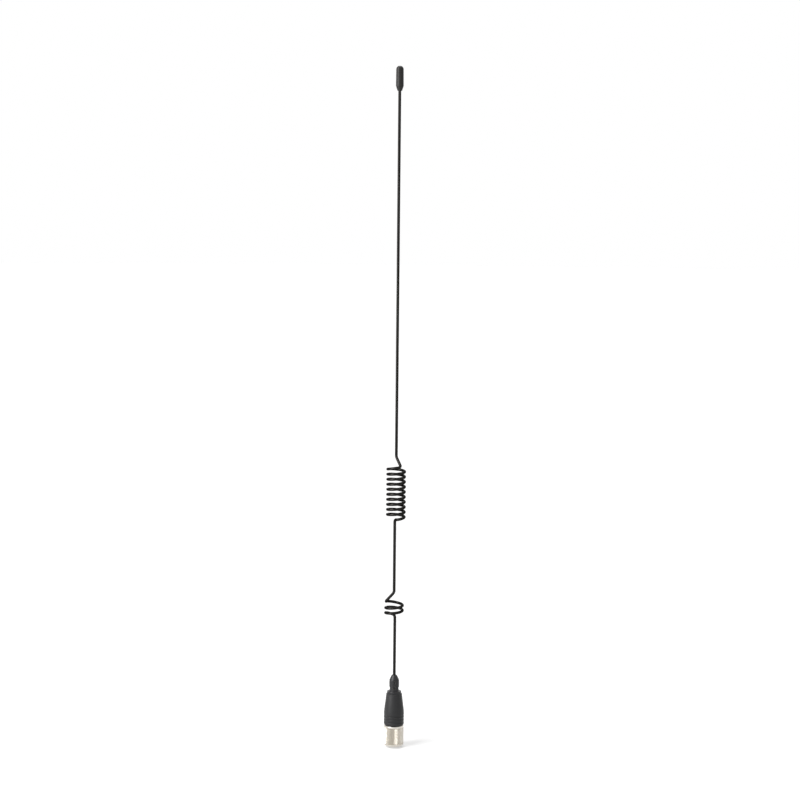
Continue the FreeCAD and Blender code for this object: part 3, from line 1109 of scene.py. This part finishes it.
@dataclass
class CouplingRing:
    """The ring that screws onto the socket, with a diamond knurl outside and its thread inside.

    A knurled face's normal has a Z under upright, and its centre is at most centre_play times nearer the axis
    than the band's corners. slack is millimetres, and angle_slack is degrees. crest_half and root_half are
    half widths of the thread's ridge as shares of its pitch. run_out gives the degrees from each end within
    which the ridge is widened by run_out_growth, once for each.
    """

    outer_radius: float = 9.02
    mouth_radius: float = 7.42
    root_radius: float = 7.95
    lip_radius: float = 6.35
    lip_height: float = 2.3
    chamfer: float = 0.6
    rim_edge: float = 0.12
    lip_edge: float = 0.2
    recess_edge: float = 0.1
    knurl_margin: float = 1.8
    knurl_rows: int = 16
    knurl_columns: int = 60
    knurl_depth: float = 0.35
    knurl_crease: float = 30.0
    upright: float = 0.5
    centre_play: float = 1.01
    slack: float = 0.01
    angle_slack: float = 1e-3
    pitch: float = INCH / 24
    turns: int = 8
    thread_steps: int = 48
    crest_half: float = 0.1
    root_half: float = 0.44
    buried: float = 0.1
    run_out: tuple[int, ...] = (8, 16, 24, 32)
    run_out_growth: float = 1.02

    def band(self, room: Room) -> tuple[float, float]:
        """The heights between which the ring is knurled."""
        return room.bottom + self.knurl_margin, room.top - self.knurl_margin

    def blank(self, room: Room) -> Piece:
        """The turned ring, its knurled band still a grid of small squares.

        Args:
            room: The room of the CAD ring.

        Returns:
            The piece.
        """
        low, high = self.band(room)
        rows = [low + (high - low) * row / self.knurl_rows for row in range(self.knurl_rows + 1)]
        root = self.outer_radius - self.knurl_depth
        return turn("ring_body", [
            Corner(self.root_radius, room.bottom),
            Corner(self.outer_radius - self.chamfer, room.bottom, self.rim_edge),
            Corner(self.outer_radius, room.bottom + self.chamfer, self.rim_edge),
            Corner(self.outer_radius, low),
            *(Corner(root, height) for height in rows),
            Corner(self.outer_radius, high),
            Corner(self.outer_radius, room.top - self.chamfer, self.rim_edge),
            Corner(self.outer_radius - self.chamfer, room.top, self.rim_edge),
            Corner(self.lip_radius, room.top, self.lip_edge),
            Corner(self.lip_radius, self.lip_height, self.recess_edge),
            Corner(self.root_radius, self.lip_height),
        ], steps=self.knurl_columns)

    def knurl(self, ring: Piece, room: Room) -> None:
        """Turns the band's squares into raised diamonds.

        Args:
            ring: The blank.
            room: The room of the CAD ring.
        """
        low, high = (height * MM for height in self.band(room))
        root = (self.outer_radius - self.knurl_depth) * MM
        flat = root * math.cos(math.pi / self.knurl_columns)
        between = (root + flat) / 2
        slack = self.slack * MM

        def on_band(centre: Vector, normal: Vector) -> bool:
            """Whether a face belongs to the knurled band."""
            upright = low < centre.z < high and abs(normal.z) < self.upright
            return upright and between / self.centre_play < radius_of(centre) < root

        def inside_band(first: Vector, second: Vector) -> bool:
            """Whether an edge is one of the squares' sides, away from the band's rims."""
            corners = all(between < radius_of(end) < root + slack for end in (first, second))
            on_rim = abs(first.z - second.z) < slack and not low + slack < first.z < high - slack
            return corners and not on_rim

        activate(ring)
        start_editing()
        pick(ring, Element.FACE, on_band)
        bpy.ops.mesh.poke(offset=0.0)
        pick(ring, Element.EDGE, inside_band)
        bpy.ops.mesh.dissolve_edges(use_verts=False)
        pick(ring, Element.FACE, on_band)
        bpy.ops.mesh.poke(offset=self.knurl_depth * MM)
        stop_editing()

    def thread(self, room: Room) -> Piece:
        """The ridge of the right-handed thread, wound by the screw modifier up the ring's bore.

        Args:
            room: The room of the CAD ring.

        Returns:
            The ridge, with ends that sink into the wall.
        """
        first = room.bottom + self.pitch
        foot = self.root_radius + self.buried
        section = [
            Corner(foot, first - self.root_half * self.pitch),
            Corner(self.mouth_radius, first - self.crest_half * self.pitch),
            Corner(self.mouth_radius, first + self.crest_half * self.pitch),
            Corner(foot, first + self.root_half * self.pitch),
        ]
        thread = trace_outline("ring_thread", section, closed=True)
        stop_editing()
        apply_modifier(thread, "SCREW", axis="Z", angle=FULL_TURN, screw_offset=self.pitch * MM,
                       iterations=self.turns, steps=self.thread_steps, render_steps=self.thread_steps)
        start_editing()
        for reach in self.run_out:
            pick(thread, Element.VERTEX, lambda place: self.near_end(place, first, reach))
            bpy.ops.transform.resize(value=(self.run_out_growth, self.run_out_growth, 1),
                                     center_override=(0, 0, 0))
        bpy.ops.mesh.select_all(action="SELECT")
        bpy.ops.mesh.fill_holes(sides=len(section))
        face_outward()
        stop_editing()
        return thread

    def near_end(self, place: Vector, first: float, reach: float) -> bool:
        """Whether a point of the ridge lies within an angle of one of its two ends.

        Args:
            place: The point.
            first: The height of the ridge's start, in millimetres.
            reach: The angle in degrees.

        Returns:
            True near an end.
        """
        angle = math.degrees(math.atan2(place.y, place.x))
        climb = place.z / MM - first
        whole = self.turns * self.pitch
        if climb < whole / 2:
            return -self.angle_slack < angle < reach and climb < self.pitch / 2
        return -reach < angle < self.angle_slack and climb > whole - self.pitch / 2

    def build(self, wardrobe: Wardrobe) -> None:
        """Makes the ring and its thread, and dresses them.

        Args:
            wardrobe: The made materials.
        """
        room = room_of("coupling_ring")
        ring = self.blank(room)
        self.knurl(ring, room)
        smooth(ring, self.knurl_crease)
        hand_over(ring, Body.RING, "ring_plating", wardrobe, "coupling_ring")
        thread = self.thread(room)
        smooth(thread)
        hand_over(thread, Body.RING, "ring_plating", wardrobe)


# Studio


@dataclass(frozen=True)
class SoftBox:
    """A rectangular soft light: its place and size in metres, and its power in watts."""

    name: str
    place: tuple[float, float, float]
    size: tuple[float, float]
    power: float

    def stand_up(self, aim: Vector) -> None:
        """Adds the light, turned to a point.

        Args:
            aim: The point it faces.
        """
        lamp = bpy.data.lights.new(self.name, "AREA")
        lamp.shape = "RECTANGLE"
        lamp.size, lamp.size_y = self.size
        lamp.energy = self.power
        stand = bpy.data.objects.new(self.name, lamp)
        bpy.context.scene.collection.objects.link(stand)
        stand.location = self.place
        stand.rotation_euler = (aim - stand.location).to_track_quat("-Z", "Y").to_euler()


@dataclass
class Studio:
    """The pale floor, the light and the camera at the photograph's angle.

    The floor glows only for rays that see it as background, near_glow within glow_spread[0] metres of the
    object and far_glow from glow_spread[1] on, so that it shows as white and still keeps the shadow.
    """

    floor_height: float = -12.4 * MM
    floor_reach: float = 12.0
    floor_corners: int = 64
    floor_grey: float = 0.8
    floor_roughness: tuple[float, float] = (0.7, 0.8)
    floor_grain: float = 40.0
    near_glow: float = 0.45
    far_glow: float = 0.79
    glow_spread: tuple[float, float] = (0.3, 2.0)
    world_level: float = 0.18
    lit_height: float = 0.30
    boxes: tuple[SoftBox, ...] = (
        SoftBox("key box", (-1.02, -0.72, 0.90), (0.90, 1.80), 30.0),
        SoftBox("top box", (0.10, 0.30, 1.60), (0.90, 0.90), 6.0),
    )
    camera_distance: float = 1.697
    camera_height: float = 0.4900
    camera_side: float = 2.8 * MM
    camera_pitch: float = 6.163
    camera_roll: float = 0.55
    lens: float = 85.54
    sensor: float = 36.0
    clip: tuple[float, float] = (0.05, 60.0)

    def background_rays(self, sheet: NodeSheet) -> Socket:
        """1 for rays from the camera, mirror-like reflections and glass, and 0 for the rest."""
        path = sheet.add("LightPath").outputs
        seen = sheet.math("MAXIMUM", path["Is Camera Ray"], path["Is Glossy Ray"])
        return sheet.math("MAXIMUM", seen, path["Is Transmission Ray"])

    def world(self) -> None:
        """Sets a soft grey-white surround that shows white behind the object."""
        world = bpy.data.worlds.new("surround")
        world.use_nodes = True
        bpy.context.scene.world = world
        sheet = NodeSheet(world.node_tree)
        strength = sheet.remap(self.background_rays(sheet), to_low=self.world_level)
        back = sheet.add("Background", {"Color": (1, 1, 1, 1), "Strength": strength})
        sheet.add("OutputWorld", {"Surface": back.outputs[0]})

    def floor_material(self) -> bpy.types.Material:
        """The floor's pale material.

        Returns:
            The material.
        """
        pale = bpy.data.materials.new("pale floor")
        pale.use_nodes = True
        sheet = MaterialSheet(pale.node_tree)
        noise = sheet.add("TexNoise", {"Vector": sheet.place, "Scale": self.floor_grain}).outputs[0]
        smooth_end, rough_end = self.floor_roughness
        away = sheet.add("VectorMath", {0: sheet.place}, operation="LENGTH").outputs["Value"]
        wanted = sheet.remap(away, *self.glow_spread, self.near_glow, self.far_glow)
        shader = sheet.add("BsdfPrincipled", {
            "Base Color": (self.floor_grey, self.floor_grey, self.floor_grey, 1),
            "Roughness": sheet.remap(noise, to_low=smooth_end, to_high=rough_end),
            "Emission Color": (1, 1, 1, 1),
            "Emission Strength": sheet.math("MULTIPLY", self.background_rays(sheet), wanted)})
        sheet.add("OutputMaterial", {"Surface": shader.outputs[0]})
        return pale

    def floor(self) -> None:
        """Lays a wide pale disc that keeps the object's shadow."""
        clear_selection()
        bpy.ops.mesh.primitive_circle_add(vertices=self.floor_corners, radius=self.floor_reach,
                                          fill_type="NGON", location=(0, 0, self.floor_height))
        floor = bpy.context.object
        floor.name = "floor"
        settle(floor)
        floor.data.materials.append(self.floor_material())

    def camera(self) -> None:
        """Stands the camera where the photograph was taken from."""
        lens = bpy.data.cameras.new("camera")
        lens.lens, lens.sensor_width = self.lens, self.sensor
        lens.clip_start, lens.clip_end = self.clip
        camera = bpy.data.objects.new("camera", lens)
        bpy.context.scene.collection.objects.link(camera)
        camera.location = (self.camera_side, -self.camera_distance, self.camera_height)
        camera.rotation_mode = "QUATERNION"
        pitch = Quaternion((1, 0, 0), QUARTER_TURN - math.radians(self.camera_pitch))
        roll = Quaternion((0, 0, 1), math.radians(self.camera_roll))
        camera.rotation_quaternion = pitch @ roll
        bpy.context.scene.camera = camera

    def build(self) -> None:
        """Sets up the whole studio."""
        bpy.context.scene.view_settings.view_transform = "Standard"
        self.world()
        self.floor()
        for box in self.boxes:
            box.stand_up(Vector((0, 0, self.lit_height)))
        self.camera()
        log.info("studio stands")


def main() -> None:
    """Builds every piece, then the studio."""
    logging.basicConfig(level=logging.INFO, format="%(name)s: %(message)s")
    wardrobe = Wardrobe(Effects())
    wardrobe.sew()
    dress_cad_nodes(wardrobe)
    for assembly in (RodHolder(), SetScrews(), Housing(), PlugShell(), CouplingRing()):
        assembly.build(wardrobe)
    Studio().build()


if __name__ == "__main__":
    main()
